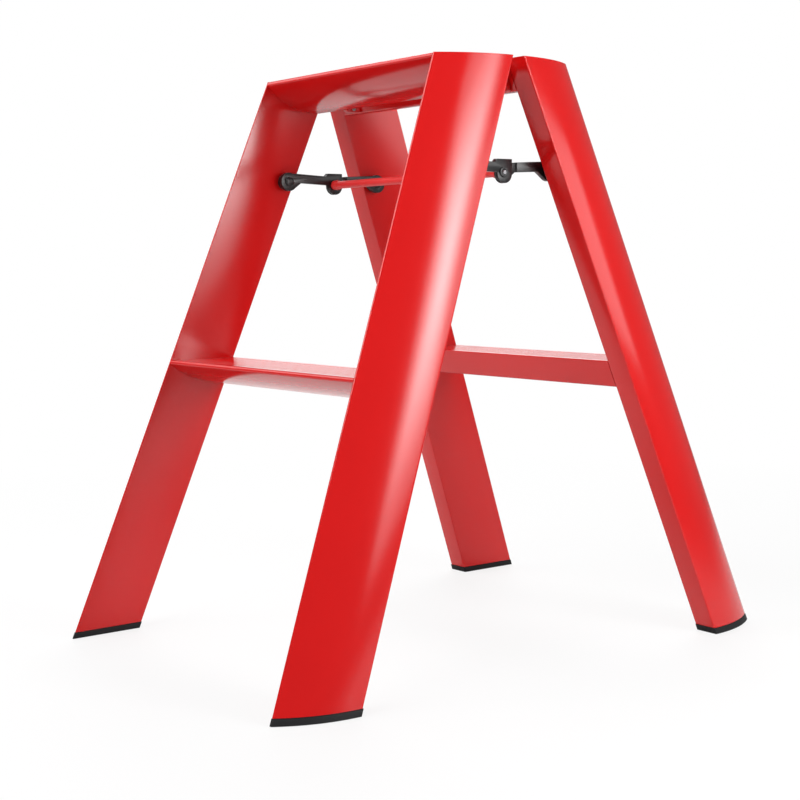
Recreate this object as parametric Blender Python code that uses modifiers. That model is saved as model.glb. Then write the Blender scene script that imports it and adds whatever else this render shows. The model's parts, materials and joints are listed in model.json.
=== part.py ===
"""Red two-step folding step stool: two aluminium frames hinged at the platform, tied by folding stays.

Axes in metres: X across the width (right is +X), Y from the front frame (-Y) to the rear frame (+Y),
Z up from the floor. The stool is built open, as it stands in use.
"""

import math

import bmesh
import bpy
from mathutils import Matrix, Vector

# Overall shape of the two leaning frames, whose sections nearly meet at the top
HEIGHT = 0.560
SECTION_DEPTH = 0.074
PLATFORM_HALF_GAP = 0.006
HALF_DEPTH_FLOOR = 0.2925
HALF_DEPTH_TOP = SECTION_DEPTH + PLATFORM_HALF_GAP
HALF_INSIDE_FLOOR = 0.1845
HALF_INSIDE_TOP = 0.1365
JOINT_GAP = 0.0003

# Wedge section shared by the legs and the treads
LEG_THICKNESS = 0.025
LEG_THIN_EDGE = 0.0016
LEG_WALL = 0.002
OUTER_ROUNDING = 0.0035
INNER_ROUNDING = 0.0012
ARC_SEGMENTS = 16
CORNER_SEGMENTS = 4

# Treads: the lower pair and the two halves of the platform
LOWER_STEP_TOP = 0.277
LOWER_STEP_THICKNESS = 0.026
PLATFORM_THICKNESS = 0.0292
TREAD_NOSE = 0.0035
TREAD_WALL = 0.0022
TREAD_WEB_AT = 0.040
TREAD_WEB_THICKNESS = 0.002
GROOVE_COUNT = 8
GROOVE_WIDTH = 0.0016
GROOVE_DEPTH = 0.0006
GROOVE_MARGIN = 0.010

# Rubber feet and the plates that close the tops of the legs
FOOT_HEIGHT = 0.006
FOOT_OVERHANG = 0.0006
FOOT_CHAMFER = 0.0012
FOOT_PLUG_HEIGHT = 0.020
CAP_THICKNESS = 0.004

# Platform hinges, hung from the platform's top and kept off the legs
HINGE_DROP = 0.010
HINGE_HEIGHT = HEIGHT - HINGE_DROP
HINGE_SIDE_CLEARANCE = 0.0010
HINGE_OUTSIDE = HALF_INSIDE_TOP - HINGE_SIDE_CLEARANCE
BRACKET_WIDTH = 0.0289
HINGE_INSIDE = HINGE_OUTSIDE - BRACKET_WIDTH
OUTER_LUG_THICKNESS = 0.003
MIDDLE_LUG_THICKNESS = 0.006
BRACKET_BASE = 0.0022
BRACKET_FALL = 0.0183
EYE_RADIUS = 0.0062
EYE_ARC_END = 236.5
BRACKET_TOP = HINGE_HEIGHT + EYE_RADIUS
BRACKET_BOTTOM = HINGE_HEIGHT - BRACKET_FALL
PIN_RADIUS = 0.0025
PIN_CLEARANCE = 0.0003
PIN_HEAD_RADIUS = 0.004
PIN_HEAD_THICKNESS = 0.0018
SCREW_HEIGHTS = (HINGE_HEIGHT - 0.0125, HINGE_HEIGHT - 0.0005)
SCREW_INSET = 0.0075
SCREW_AT = HINGE_INSIDE + SCREW_INSET
SCREW_RADIUS = 0.0016
SCREW_HEAD_RADIUS = 0.0031
SCREW_HEAD_THICKNESS = 0.0013
SCREW_LENGTH = 0.0075

# Folding stays that lock the frames open, their bars set above the line between their pivots
STAY_PIVOT_DROP = 0.1013
STAY_PIVOT_HEIGHT = HEIGHT - STAY_PIVOT_DROP
STAY_PIVOT_INSET = 0.0126
STAY_MID_DROP = 0.0026
STAY_THICKNESS = 0.0050
STAY_EYE_RADIUS = 0.0096
ARM_UNDERSIDE = -0.0004
ARM_TOP = 0.0087
GUSSET_ANGLE = 45.0
GUSSET_REACH = 0.0148
KNUCKLE_RADIUS = 0.0088
KNUCKLE_DROP = 0.0012
KNUCKLE_REARWARD = 0.0012
KNUCKLE_REAR = KNUCKLE_REARWARD + KNUCKLE_RADIUS
LEDGE_RISE = 0.0092
LEDGE_THICKNESS = 0.0030
LEDGE_FRONT_REACH = 0.0080
LEDGE_SLOPE = 0.0028
TONGUE_RADIUS = 0.0085
TONGUE_THICKNESS = 0.0018
TONGUE_REACH = 0.0162
TONGUE_FLAT = 0.001

# Pins, rivets and bosses of the stays
PIVOT_RADIUS = 0.0023
PIN_PROUD = 0.0003
PIN_CHAMFER = 0.0005
PIN_REACH_IN_BAR = 0.010
WASHER_RADIUS = 0.0048
WASHER_THICKNESS = 0.0010
RIVET_HEAD_RADIUS = 0.0050
RIVET_HEAD_THICKNESS = 0.0017
RIVET_REACH_IN_BOSS = 0.0045
BOSS_THICKNESS = 0.0052
BOSS_RADIUS = 0.0080
BOSS_STUD_RADIUS = 0.0036
BOSS_STUD_LENGTH = 0.0035

# Round bar that joins the two stays
BAR_RADIUS = 0.0040
BAR_COLLAR_RADIUS = 0.0050
BAR_COLLAR_LENGTH = 0.007
BAR_CHAMFER = 0.0006

ROUND_SEGMENTS = 24
SCREW_SEGMENTS = 16
SIDES = (("left", -1), ("right", 1))
FRAMES = (("front", -1), ("rear", 1))

COLOURS = {
    "red_paint": ((0.74, 0.012, 0.012), 0.22, 0.0),
    "black_metal": ((0.012, 0.012, 0.013), 0.38, 0.0),
    "black_plastic": ((0.014, 0.014, 0.015), 0.45, 0.0),
    "black_rubber": ((0.015, 0.015, 0.015), 0.75, 0.0),
    "plain_steel": ((0.55, 0.55, 0.56), 0.35, 1.0),
}


def half_depth(z):
    """Distance of the thin outer edges from the middle plane at one height."""
    return HALF_DEPTH_FLOOR + (HALF_DEPTH_TOP - HALF_DEPTH_FLOOR) * z / HEIGHT


def half_opening(z):
    """Distance of the thick inner edges from the middle plane at one height."""
    return half_depth(z) - SECTION_DEPTH


def half_inside(z):
    """Distance of the flat inner faces of the legs from the middle plane at one height."""
    return HALF_INSIDE_FLOOR + (HALF_INSIDE_TOP - HALF_INSIDE_FLOOR) * z / HEIGHT


STAY_OUTSIDE = half_inside(STAY_PIVOT_HEIGHT) - BOSS_THICKNESS


def lean_angle():
    """Angle of one frame from upright."""
    return math.atan((HALF_DEPTH_FLOOR - HALF_DEPTH_TOP) / HEIGHT)


def make_collections():
    """Empty the scene, then make one collection for the stool and one for its cutters."""
    for item in list(bpy.data.objects):
        bpy.data.objects.remove(item, do_unlink=True)
    stool = bpy.data.collections.new("folding_step_stool")
    cutters = bpy.data.collections.new("cutters")
    for collection in (stool, cutters):
        bpy.context.scene.collection.children.link(collection)
    return stool, cutters


def make_materials():
    """One Principled material for each finish."""
    made = {}
    for name, (colour, roughness, metallic) in COLOURS.items():
        material = bpy.data.materials.new(name)
        material.use_nodes = True
        surface = material.node_tree.nodes["Principled BSDF"]
        surface.inputs["Base Color"].default_value = (*colour, 1.0)
        surface.inputs["Roughness"].default_value = roughness
        surface.inputs["Metallic"].default_value = metallic
        made[name] = material
    return made


STOOL, CUTTERS = make_collections()
MATERIALS = make_materials()


def add_object(name, mesh, finish, smooth=False):
    """Link a mesh as a named piece with its finish, or as a cutter where it has none."""
    item = bpy.data.objects.new(name, mesh)
    if finish:
        mesh.materials.append(MATERIALS[finish])
        STOOL.objects.link(item)
    else:
        item.hide_render = True
        item.display_type = "WIRE"
        CUTTERS.objects.link(item)
    for face in mesh.polygons:
        face.use_smooth = smooth
    return item


def prism(name, outlines, place, finish):
    """Fill flat outlines, holes after the outer one, extrude them and put both ends in place."""
    curve = bpy.data.curves.new(name, "CURVE")
    curve.dimensions = "2D"
    curve.fill_mode = "BOTH"
    curve.extrude = 0.5
    for outline in outlines:
        spline = curve.splines.new("POLY")
        spline.points.add(len(outline) - 1)
        spline.use_cyclic_u = True
        for point, (a, b) in zip(spline.points, outline):
            point.co = (a, b, 0.0, 1.0)
    holder = bpy.data.objects.new(name + "_outline", curve)
    STOOL.objects.link(holder)
    seen = holder.evaluated_get(bpy.context.evaluated_depsgraph_get())
    mesh = bpy.data.meshes.new_from_object(seen)
    mesh.name = name
    bpy.data.objects.remove(holder, do_unlink=True)
    mesh.materials.clear()
    shape = bmesh.new()
    shape.from_mesh(mesh)
    bmesh.ops.remove_doubles(shape, verts=shape.verts, dist=1e-6)
    bmesh.ops.dissolve_degenerate(shape, dist=1e-6, edges=shape.edges)
    for vertex in shape.verts:
        vertex.co = place(vertex.co.x, vertex.co.y, round(vertex.co.z + 0.5))
    bmesh.ops.recalc_face_normals(shape, faces=shape.faces)
    if shape.calc_volume(signed=True) < 0:
        bmesh.ops.reverse_faces(shape, faces=shape.faces)
    shape.to_mesh(mesh)
    shape.free()
    return add_object(name, mesh, finish)


def block(name, low, high, finish):
    """Box between two corners."""
    mesh = bpy.data.meshes.new(name)
    shape = bmesh.new()
    size = Vector(high) - Vector(low)
    middle = (Vector(high) + Vector(low)) / 2
    bmesh.ops.create_cube(shape, size=1.0, matrix=Matrix.Translation(middle) @ Matrix.Diagonal((*size, 1.0)))
    shape.to_mesh(mesh)
    shape.free()
    return add_object(name, mesh, finish)


def rod(name, radius, start, end, finish, segments=ROUND_SEGMENTS):
    """Straight cylinder between two points."""
    start = Vector(start)
    along = Vector(end) - start
    turn = along.to_track_quat("Z", "Y").to_matrix().to_4x4()
    mesh = bpy.data.meshes.new(name)
    shape = bmesh.new()
    bmesh.ops.create_cone(
        shape,
        cap_ends=True,
        segments=segments,
        radius1=radius,
        radius2=radius,
        depth=along.length,
        matrix=Matrix.Translation(start + along / 2) @ turn,
    )
    shape.to_mesh(mesh)
    shape.free()
    return add_object(name, mesh, finish, smooth=bool(finish))


def turned(name, profile, origin, direction, finish, segments=ROUND_SEGMENTS):
    """Turn a profile of (radius, height) points, listed top to bottom, about a line through origin."""
    mesh = bpy.data.meshes.new(name)
    points = [(radius, 0.0, height) for radius, height in profile]
    mesh.from_pydata(points, [(i, i + 1) for i in range(len(points) - 1)], [])
    item = add_object(name, mesh, finish, smooth=True)
    screw = item.modifiers.new("turn", "SCREW")
    screw.steps = segments
    screw.render_steps = segments
    screw.use_merge_vertices = True
    screw.merge_threshold = 0.00001
    item.location = origin
    item.rotation_euler = Vector(direction).to_track_quat("Z", "Y").to_euler()
    return item


def combine(item, other, operation):
    """Join another shape to a piece, or cut it out of the piece."""
    boolean = item.modifiers.new(operation.lower(), "BOOLEAN")
    boolean.solver = "EXACT"
    boolean.operation = operation
    boolean.object = other
    return item


def circle(radius, centre=(0.0, 0.0), first=0.0, last=360.0, segments=ROUND_SEGMENTS):
    """Points on a circle from one angle to another, without the repeated end of a full turn."""
    full = abs(last - first) >= 360.0
    count = segments if full else segments + 1
    angles = [math.radians(first + (last - first) * i / segments) for i in range(count)]
    return [(centre[0] + radius * math.cos(a), centre[1] + radius * math.sin(a)) for a in angles]


def wedge(thickness, thin, inset=0.0, near=None, far=None, grooves=False):
    """Wedge section: u runs from the thin edge inwards, w from the flat face to the bulged face.

    The bulged face is an arc that ends square to the thick edge. A positive inset gives the hollow
    inside the wall, and near and far bound a hollow that a web divides.
    """
    rise = thickness - thin
    radius = (SECTION_DEPTH**2 + rise**2) / (2 * rise)
    centre = thickness - radius

    def bulge(u):
        return centre + math.sqrt((radius - inset) ** 2 - (SECTION_DEPTH - u) ** 2)

    edge = thin - inset if inset <= 0 else inset + thin / 2
    start = SECTION_DEPTH - math.sqrt((radius - inset) ** 2 - (edge - centre) ** 2)
    start = start if near is None else near
    end = SECTION_DEPTH - inset if far is None else far
    outline = [(start, inset)]
    if grooves:
        step = (SECTION_DEPTH - 2 * GROOVE_MARGIN) / (GROOVE_COUNT - 1)
        for i in range(GROOVE_COUNT):
            left = GROOVE_MARGIN + i * step - GROOVE_WIDTH / 2
            right = left + GROOVE_WIDTH
            outline += [(left, 0.0), (left, GROOVE_DEPTH), (right, GROOVE_DEPTH), (right, 0.0)]
    if far is None:
        inner = max(INNER_ROUNDING - inset, 0.0004)
        outer = max(OUTER_ROUNDING - inset, 0.0008)
        outline += circle(inner, (end - inner, inset + inner), -90, 0, CORNER_SEGMENTS)
        top = bulge(end - outer)
        outline += circle(outer, (end - outer, top - outer), 0, 90, CORNER_SEGMENTS)
        last = end - outer
    else:
        outline += [(end, inset), (end, bulge(end))]
        last = end
    count = ARC_SEGMENTS
    outline += [(last + (start - last) * i / count, bulge(last + (start - last) * i / count)) for i in range(1, count + 1)]
    return outline


def leg_place(side, front, bottom, top):
    """Rule that stands a wedge section upright as a leg between two heights."""

    def place(u, w, end):
        z = top if end else bottom
        return Vector((side * (half_inside(z) + w), front * (half_depth(z) - u), z))

    return place


def make_leg(side_name, side, frame_name, front):
    """Hollow leg with a hole for the stud of its stay boss."""
    outlines = [wedge(LEG_THICKNESS, LEG_THIN_EDGE), wedge(LEG_THICKNESS, LEG_THIN_EDGE, LEG_WALL)]
    place = leg_place(side, front, FOOT_HEIGHT + JOINT_GAP, HEIGHT)
    name = f"{frame_name}_{side_name}_leg"
    leg = prism(name, outlines, place, "red_paint")
    face = side * half_inside(STAY_PIVOT_HEIGHT)
    y = stay_pivot(front).y
    reach = side * 2 * LEG_WALL
    start = (face - reach, y, STAY_PIVOT_HEIGHT)
    end = (face + reach, y, STAY_PIVOT_HEIGHT)
    hole = rod(name + "_stud_hole", BOSS_STUD_RADIUS + JOINT_GAP, start, end, None)
    return combine(leg, hole, "DIFFERENCE")


def make_leg_cap(side_name, side, frame_name, front):
    """Plate inside the top of a leg, flush with the platform."""
    outline = wedge(LEG_THICKNESS, LEG_THIN_EDGE, LEG_WALL + JOINT_GAP)
    place = leg_place(side, front, HEIGHT - CAP_THICKNESS, HEIGHT)
    return prism(f"{frame_name}_{side_name}_leg_cap", [outline], place, "red_paint")


def make_foot(side_name, side, frame_name, front):
    """Rubber foot: a chamfered pad under the leg and a plug inside it."""
    name = f"{frame_name}_{side_name}_foot"
    pad = prism(
        name,
        [wedge(LEG_THICKNESS, LEG_THIN_EDGE, -FOOT_OVERHANG)],
        leg_place(side, front, 0.0, FOOT_HEIGHT),
        "black_rubber",
    )
    shape = bmesh.new()
    shape.from_mesh(pad.data)
    sole = [e for e in shape.edges if all(v.co.z < FOOT_CHAMFER / 10 for v in e.verts) and e.is_manifold]
    rim = [e for e in sole if any(abs(f.normal.z) < 0.9 for f in e.link_faces)]
    bmesh.ops.bevel(shape, geom=rim, offset=FOOT_CHAMFER, segments=2, affect="EDGES", profile=0.5)
    bmesh.ops.dissolve_degenerate(shape, dist=1e-6, edges=shape.edges)
    shape.to_mesh(pad.data)
    shape.free()
    plug = prism(
        name + "_plug",
        [wedge(LEG_THICKNESS, LEG_THIN_EDGE, LEG_WALL + JOINT_GAP)],
        leg_place(side, front, FOOT_HEIGHT / 2, FOOT_PLUG_HEIGHT),
        None,
    )
    return combine(pad, plug, "UNION")


def make_tread(name, front, top, thickness):
    """Hollow tread with a web inside, its ends cut to the splay of the legs."""
    hollow_end = TREAD_WEB_AT - TREAD_WEB_THICKNESS / 2
    hollow_start = TREAD_WEB_AT + TREAD_WEB_THICKNESS / 2
    outlines = [
        wedge(thickness, TREAD_NOSE, grooves=True),
        wedge(thickness, TREAD_NOSE, TREAD_WALL, far=hollow_end),
        wedge(thickness, TREAD_NOSE, TREAD_WALL, near=hollow_start),
    ]

    def place(u, w, end):
        z = top - w
        x = half_inside(z) - JOINT_GAP
        return Vector((x if end else -x, front * (half_depth(z) - u), z))

    return prism(name, outlines, place, "red_paint")


def drill_bracket_holes(tread, front):
    """Holes for the bracket screws in the thick edge of one platform half, cut in one go."""
    cutter = bpy.data.meshes.new(tread.name + "_screw_holes")
    shape = bmesh.new()
    for side_name, side in SIDES:
        for z in SCREW_HEIGHTS:
            start, along = screw_line(side, front, z)
            turn = along.to_track_quat("Z", "Y").to_matrix().to_4x4()
            bmesh.ops.create_cone(
                shape,
                cap_ends=True,
                segments=SCREW_SEGMENTS,
                radius1=SCREW_RADIUS + PIN_CLEARANCE,
                radius2=SCREW_RADIUS + PIN_CLEARANCE,
                depth=2 * SCREW_LENGTH,
                matrix=Matrix.Translation(start - along * SCREW_LENGTH / 2) @ turn,
            )
    shape.to_mesh(cutter)
    shape.free()
    combine(tread, add_object(cutter.name, cutter, None), "DIFFERENCE")


def screw_line(side, front, z):
    """Point under a bracket screw's head and the direction out of the thick edge, towards the head."""
    lean = lean_angle()
    along = Vector((0.0, -front * math.cos(lean), -math.sin(lean)))
    on_edge = Vector((side * SCREW_AT, front * half_opening(z), z))
    return on_edge + along * (BRACKET_BASE + 2 * JOINT_GAP), along


def bracket_plate(name, side, front, low_x, high_x, lug, finish):
    """Flat plate across X: the base on a thick edge, or a lug that also carries the hinge eye."""
    lean = lean_angle()
    skin = JOINT_GAP / math.cos(lean)
    base = BRACKET_BASE / math.cos(lean)

    def edge(z, extra):
        return half_opening(z) - skin - extra

    if lug:
        eye = circle(EYE_RADIUS, (0.0, HINGE_HEIGHT), 90, EYE_ARC_END, ROUND_SEGMENTS // 2)
        outline = [(edge(BRACKET_TOP, 0.0), BRACKET_TOP), *eye]
        outline.append((edge(BRACKET_BOTTOM, 0.0), BRACKET_BOTTOM))
    else:
        outline = [
            (edge(BRACKET_TOP, 0.0), BRACKET_TOP),
            (edge(BRACKET_TOP, base), BRACKET_TOP),
            (edge(BRACKET_BOTTOM, base), BRACKET_BOTTOM),
            (edge(BRACKET_BOTTOM, 0.0), BRACKET_BOTTOM),
        ]

    def place(y, z, end):
        return Vector((side * (high_x if end else low_x), front * y, z))

    return prism(name, [outline], place, finish)


def hinge_layers():
    """X ranges of the outer, middle and inner lugs of a hinge, from the leg inwards."""
    outer = (HINGE_OUTSIDE - OUTER_LUG_THICKNESS, HINGE_OUTSIDE)
    middle_high = outer[0] - JOINT_GAP
    middle = (middle_high - MIDDLE_LUG_THICKNESS, middle_high)
    inner_high = middle[0] - JOINT_GAP
    inner = (inner_high - OUTER_LUG_THICKNESS, inner_high)
    return outer, middle, inner


def make_bracket(side_name, side, frame_name, front):
    """Hinge bracket on the thick edge of a platform half: two lugs in front, one between them behind."""
    outer, middle, inner = hinge_layers()
    lugs = (outer, inner) if frame_name == "front" else (middle,)
    name = f"{frame_name}_{side_name}_hinge_bracket"
    top_x = max(high for low, high in lugs)
    bracket = bracket_plate(name, side, front, HINGE_INSIDE, top_x, False, "red_paint")
    for number, (low, high) in enumerate(lugs, 1):
        lug = bracket_plate(f"{name}_lug_{number}", side, front, low, high, True, None)
        combine(bracket, lug, "UNION")
    bore_start = (side * (inner[0] - PIN_HEAD_THICKNESS), 0.0, HINGE_HEIGHT)
    bore_end = (side * (outer[1] + PIN_HEAD_THICKNESS), 0.0, HINGE_HEIGHT)
    bore = rod(name + "_bore", PIN_RADIUS + PIN_CLEARANCE, bore_start, bore_end, None)
    combine(bracket, bore, "DIFFERENCE")
    for number, z in enumerate(SCREW_HEIGHTS, 1):
        start, along = screw_line(side, front, z)
        first = start + along * 2 * SCREW_HEAD_THICKNESS
        last = start - along * SCREW_LENGTH
        hole = rod(f"{name}_hole_{number}", SCREW_RADIUS + PIN_CLEARANCE, first, last, None, SCREW_SEGMENTS)
        combine(bracket, hole, "DIFFERENCE")
    return bracket


def make_bracket_screws(side_name, side, frame_name, front):
    """Round-headed screws that hold a hinge bracket."""
    screws = []
    for number, z in enumerate(SCREW_HEIGHTS, 1):
        start, along = screw_line(side, front, z)
        profile = [
            (0.0, SCREW_HEAD_THICKNESS),
            (SCREW_HEAD_RADIUS * 0.6, SCREW_HEAD_THICKNESS * 0.9),
            (SCREW_HEAD_RADIUS, SCREW_HEAD_THICKNESS * 0.3),
            (SCREW_HEAD_RADIUS, 0.0),
            (SCREW_RADIUS, 0.0),
            (SCREW_RADIUS, -SCREW_LENGTH),
            (0.0, -SCREW_LENGTH),
        ]
        name = f"{frame_name}_{side_name}_bracket_screw_{number}"
        screws.append(turned(name, profile, start, along, "plain_steel", SCREW_SEGMENTS))
    return screws


def make_hinge_pin(side_name, side):
    """Pin with a head at each end through the three lugs of a hinge."""
    outer, middle, inner = hinge_layers()
    length = outer[1] - inner[0] + 2 * JOINT_GAP
    origin = (side * (inner[0] - JOINT_GAP), 0.0, HINGE_HEIGHT)
    profile = [
        (0.0, length + PIN_HEAD_THICKNESS),
        (PIN_HEAD_RADIUS * 0.7, length + PIN_HEAD_THICKNESS),
        (PIN_HEAD_RADIUS, length + PIN_HEAD_THICKNESS * 0.5),
        (PIN_HEAD_RADIUS, length),
        (PIN_RADIUS, length),
        (PIN_RADIUS, 0.0),
        (PIN_HEAD_RADIUS, 0.0),
        (PIN_HEAD_RADIUS, -PIN_HEAD_THICKNESS * 0.5),
        (PIN_HEAD_RADIUS * 0.7, -PIN_HEAD_THICKNESS),
        (0.0, -PIN_HEAD_THICKNESS),
    ]
    return turned(f"{side_name}_hinge_pin", profile, origin, (side, 0.0, 0.0), "plain_steel")


def stay_pivot(front):
    """Position in Y and Z of the pivot of a stay on its leg, set in from the leg's thick edge."""
    half = half_opening(STAY_PIVOT_HEIGHT) + STAY_PIVOT_INSET
    return Vector((0.0, front * half, STAY_PIVOT_HEIGHT))


def stay_middle():
    """Position in Y and Z of the pivot where the two stays of one side meet."""
    return Vector((0.0, 0.0, STAY_PIVOT_HEIGHT - STAY_MID_DROP))


def make_boss(side_name, side, frame_name, front):
    """Round boss between a leg and its stay, with a stud into the leg."""
    centre = stay_pivot(front)
    name = f"{frame_name}_{side_name}_stay_boss"
    face = half_inside(STAY_PIVOT_HEIGHT)
    seat = STAY_OUTSIDE + JOINT_GAP

    def place(y, z, end):
        return Vector((side * (seat if end else half_inside(z) - JOINT_GAP), y, z))

    boss = prism(name, [circle(BOSS_RADIUS, centre[1:])], place, "black_plastic")
    stud_start = (side * (seat + face) / 2, *centre[1:])
    stud_end = (side * (face + BOSS_STUD_LENGTH), *centre[1:])
    combine(boss, rod(name + "_stud", BOSS_STUD_RADIUS, stud_start, stud_end, None), "UNION")
    if frame_name == "front":
        bore_start = (side * STAY_OUTSIDE, *centre[1:])
        bore_end = (side * (seat + RIVET_REACH_IN_BOSS), *centre[1:])
        bore = rod(name + "_bore", PIVOT_RADIUS + PIN_CLEARANCE, bore_start, bore_end, None)
        combine(boss, bore, "DIFFERENCE")
    return boss


def stay_place(side, front, low, high):
    """Rule that stands a stay up between two depths below its outer face.

    The outline's first coordinate is the distance from the middle plane, the second the height.
    """

    def place(y, z, end):
        return Vector((side * (STAY_OUTSIDE - (high if end else low)), front * y, z))

    return place


def above_pivots(y, offset):
    """Point of a stay's outline at an offset above the line between its two pivots."""
    return y, stay_middle().z + STAY_MID_DROP * y / stay_pivot(1).y + offset


def stay_eye():
    """Outline of the leg end of a stay, from the top of the bar round the eye to its underside."""
    centre = stay_pivot(1)
    top = 180 - math.degrees(math.asin(ARM_TOP / STAY_EYE_RADIUS))
    eye = circle(STAY_EYE_RADIUS, centre[1:], top, GUSSET_ANGLE - 180, ROUND_SEGMENTS)
    return eye + [above_pivots(centre.y - GUSSET_REACH, ARM_UNDERSIDE)]


def stay_holes():
    """Outlines of the two pivot holes of a stay."""
    radius = PIVOT_RADIUS + PIN_CLEARANCE
    return [circle(radius, stay_pivot(1)[1:]), circle(radius, stay_middle()[1:])]


def tongue_layer():
    """Where the tongue lies in the thickness of a stay."""
    low = (STAY_THICKNESS - TONGUE_THICKNESS) / 2
    return low, low + TONGUE_THICKNESS


def stay_cutter(name, side, front, corners, layer):
    """Block that relieves part of a stay between two depths below its outer face."""
    (near, low), (far, high) = corners
    outline = [(near, low), (far, low), (far, high), (near, high)]
    return prism(name, [outline], stay_place(side, front, *layer), None)


def make_front_stay(side_name, side):
    """Stay on the front leg: an eye, a bar and a forked knuckle under a level stop ledge."""
    name = f"front_{side_name}_stay"
    middle = stay_middle().z
    ledge = middle + LEDGE_RISE
    outline = stay_eye()
    outline.append(above_pivots(KNUCKLE_RADIUS - KNUCKLE_REARWARD, ARM_UNDERSIDE))
    centre = (-KNUCKLE_REARWARD, middle - KNUCKLE_DROP)
    outline += circle(KNUCKLE_RADIUS, centre, 0, -180, ROUND_SEGMENTS // 2)
    outline += [
        (-KNUCKLE_REAR, ledge + LEDGE_THICKNESS),
        (LEDGE_FRONT_REACH, ledge + LEDGE_THICKNESS),
        above_pivots(LEDGE_FRONT_REACH + LEDGE_SLOPE, ARM_TOP),
    ]
    stay = prism(name, [outline, *stay_holes()], stay_place(side, -1, 0.0, STAY_THICKNESS), "black_metal")
    low, high = tongue_layer()
    front_end = TONGUE_RADIUS + JOINT_GAP
    corners = ((front_end, middle - 2 * KNUCKLE_RADIUS), (-2 * KNUCKLE_REAR, ledge))
    slot = stay_cutter(name + "_slot", side, -1, corners, (low - JOINT_GAP, high + JOINT_GAP))
    return combine(stay, slot, "DIFFERENCE")


def make_rear_stay(side_name, side):
    """Stay towards the rear leg: a tongue in the fork, a bar and an eye beside the boss."""
    name = f"rear_{side_name}_stay"
    middle = stay_middle().z
    stop = middle + LEDGE_RISE - JOINT_GAP
    outline = stay_eye()
    outline.append(above_pivots(GUSSET_REACH, ARM_UNDERSIDE))
    outline += circle(TONGUE_RADIUS, (0.0, middle), -GUSSET_ANGLE, -270, ROUND_SEGMENTS)
    outline += [
        (TONGUE_FLAT, stop),
        (KNUCKLE_REAR + JOINT_GAP, stop),
        above_pivots(TONGUE_REACH, ARM_TOP),
    ]
    stay = prism(name, [outline, *stay_holes()], stay_place(side, 1, 0.0, STAY_THICKNESS), "black_metal")
    low, high = tongue_layer()
    corners = ((-TONGUE_REACH, middle - TONGUE_REACH), (TONGUE_REACH, middle + TONGUE_REACH))
    layers = ((-JOINT_GAP, low), (high, STAY_THICKNESS + JOINT_GAP))
    for number, layer in enumerate(layers, 1):
        combine(stay, stay_cutter(f"{name}_relief_{number}", side, 1, corners, layer), "DIFFERENCE")
    return stay


def make_rivet(side_name, side, frame_name, front):
    """Rivet of a stay's eye: the front one runs into its boss, the rear one ends in the eye."""
    centre = stay_pivot(front)
    head_face = STAY_OUTSIDE - STAY_THICKNESS - JOINT_GAP
    reach = RIVET_REACH_IN_BOSS if frame_name == "front" else -JOINT_GAP
    length = STAY_OUTSIDE + reach - head_face
    profile = [
        (0.0, RIVET_HEAD_THICKNESS),
        (RIVET_HEAD_RADIUS * 0.5, RIVET_HEAD_THICKNESS * 0.92),
        (RIVET_HEAD_RADIUS * 0.85, RIVET_HEAD_THICKNESS * 0.6),
        (RIVET_HEAD_RADIUS, RIVET_HEAD_THICKNESS * 0.2),
        (RIVET_HEAD_RADIUS, 0.0),
        (PIVOT_RADIUS, 0.0),
        (PIVOT_RADIUS, -length),
        (0.0, -length),
    ]
    origin = (side * head_face, *centre[1:])
    name = f"{frame_name}_{side_name}_stay_rivet"
    return turned(name, profile, origin, (-side, 0.0, 0.0), "black_metal")


def make_pin_washer(side_name, side):
    """Push-on washer that holds the middle pin, on the outer face of the knuckle."""
    centre = stay_middle()
    outlines = [circle(WASHER_RADIUS, centre[1:]), circle(PIVOT_RADIUS + JOINT_GAP, centre[1:])]

    def place(y, z, end):
        seat = STAY_OUTSIDE + JOINT_GAP
        return Vector((side * (seat + WASHER_THICKNESS if end else seat), y, z))

    return prism(f"{side_name}_pin_washer", outlines, place, "black_metal")


def make_middle_pin(side_name, side):
    """Pin through the washer, the fork and the tongue into the end of the bar."""
    centre = stay_middle()
    end = STAY_OUTSIDE + JOINT_GAP + WASHER_THICKNESS + PIN_PROUD
    length = end - (STAY_OUTSIDE - STAY_THICKNESS - JOINT_GAP - PIN_REACH_IN_BAR)
    profile = [
        (0.0, 0.0),
        (PIVOT_RADIUS - PIN_CHAMFER, 0.0),
        (PIVOT_RADIUS, -PIN_CHAMFER),
        (PIVOT_RADIUS, -length),
        (0.0, -length),
    ]
    origin = (side * end, *centre[1:])
    return turned(f"{side_name}_middle_pin", profile, origin, (side, 0.0, 0.0), "plain_steel")


def make_lock_bar():
    """Round bar between the two stays, with a collar and a bore at each end."""
    centre = stay_middle()
    half = STAY_OUTSIDE - STAY_THICKNESS - JOINT_GAP
    upper = [
        (0.0, half),
        (BAR_COLLAR_RADIUS - BAR_CHAMFER, half),
        (BAR_COLLAR_RADIUS, half - BAR_CHAMFER),
        (BAR_COLLAR_RADIUS, half - BAR_COLLAR_LENGTH),
        (BAR_RADIUS, half - BAR_COLLAR_LENGTH - BAR_CHAMFER),
    ]
    profile = upper + [(radius, -height) for radius, height in reversed(upper)]
    bar = turned("lock_bar", profile, centre, (1.0, 0.0, 0.0), "red_paint")
    for side_name, side in SIDES:
        bore = rod(
            f"lock_bar_{side_name}_bore",
            PIVOT_RADIUS + PIN_CLEARANCE,
            (side * (half - PIN_REACH_IN_BAR - JOINT_GAP), *centre[1:]),
            (side * (half + PIN_REACH_IN_BAR), *centre[1:]),
            None,
        )
        combine(bar, bore, "DIFFERENCE")
    return bar


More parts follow.
